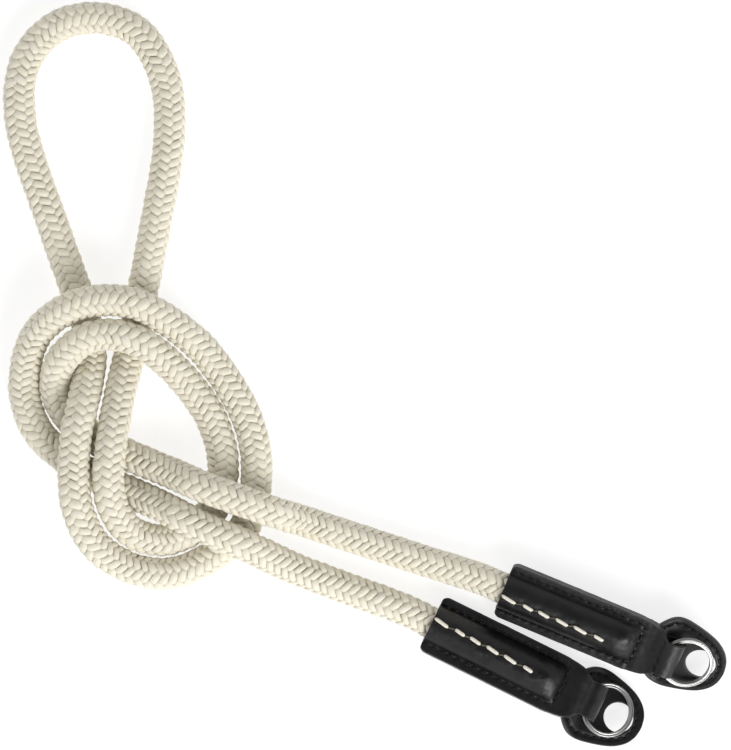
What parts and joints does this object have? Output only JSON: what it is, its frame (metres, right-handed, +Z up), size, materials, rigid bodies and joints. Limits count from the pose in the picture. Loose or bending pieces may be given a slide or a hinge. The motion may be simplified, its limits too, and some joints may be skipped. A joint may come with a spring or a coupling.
{
  "type": "camera strap",
  "caption": "Round braided silk rope camera strap, doubled and tied in a loose overhand knot, with stitched black leather ends, split rings and leather ring guards.",
  "frame": {"origin": "on the surface that the strap lies on, under the middle of its box", "axes": "+Z up from the surface, +Y towards the loop at the top, +X towards the leather ends"},
  "size_m": [0.2171, 0.2238, 0.0196],
  "materials": {
    "silk": "soft sheen, braided",
    "sleeve_leather": "smooth satin black",
    "guard_leather": "smooth satin black",
    "ring_steel": "polished steel"
  },
  "bodies": {
    "strap": {"silk_rope": "silk", "leather_end_a": "sleeve_leather", "leather_end_b": "sleeve_leather", "ring_guard_a": "guard_leather", "ring_guard_b": "guard_leather"},
    "ring_a": {"split_ring_a": "ring_steel"},
    "ring_b": {"split_ring_b": "ring_steel"}
  },
  "joints": [
    {"name": "ring_a_swing", "type": "hinge", "parent": "strap", "child": "ring_a", "pos_m": [0.06742, -0.09773, 0.00791], "axis": [-0.4364, -0.8755, 0.2078], "range_deg": [0, 130]},
    {"name": "ring_b_swing", "type": "hinge", "parent": "strap", "child": "ring_b", "pos_m": [0.09045, -0.08428, 0.00953], "axis": [-0.3316, -0.8662, -0.3739], "range_deg": [0, 130]}
  ]
}
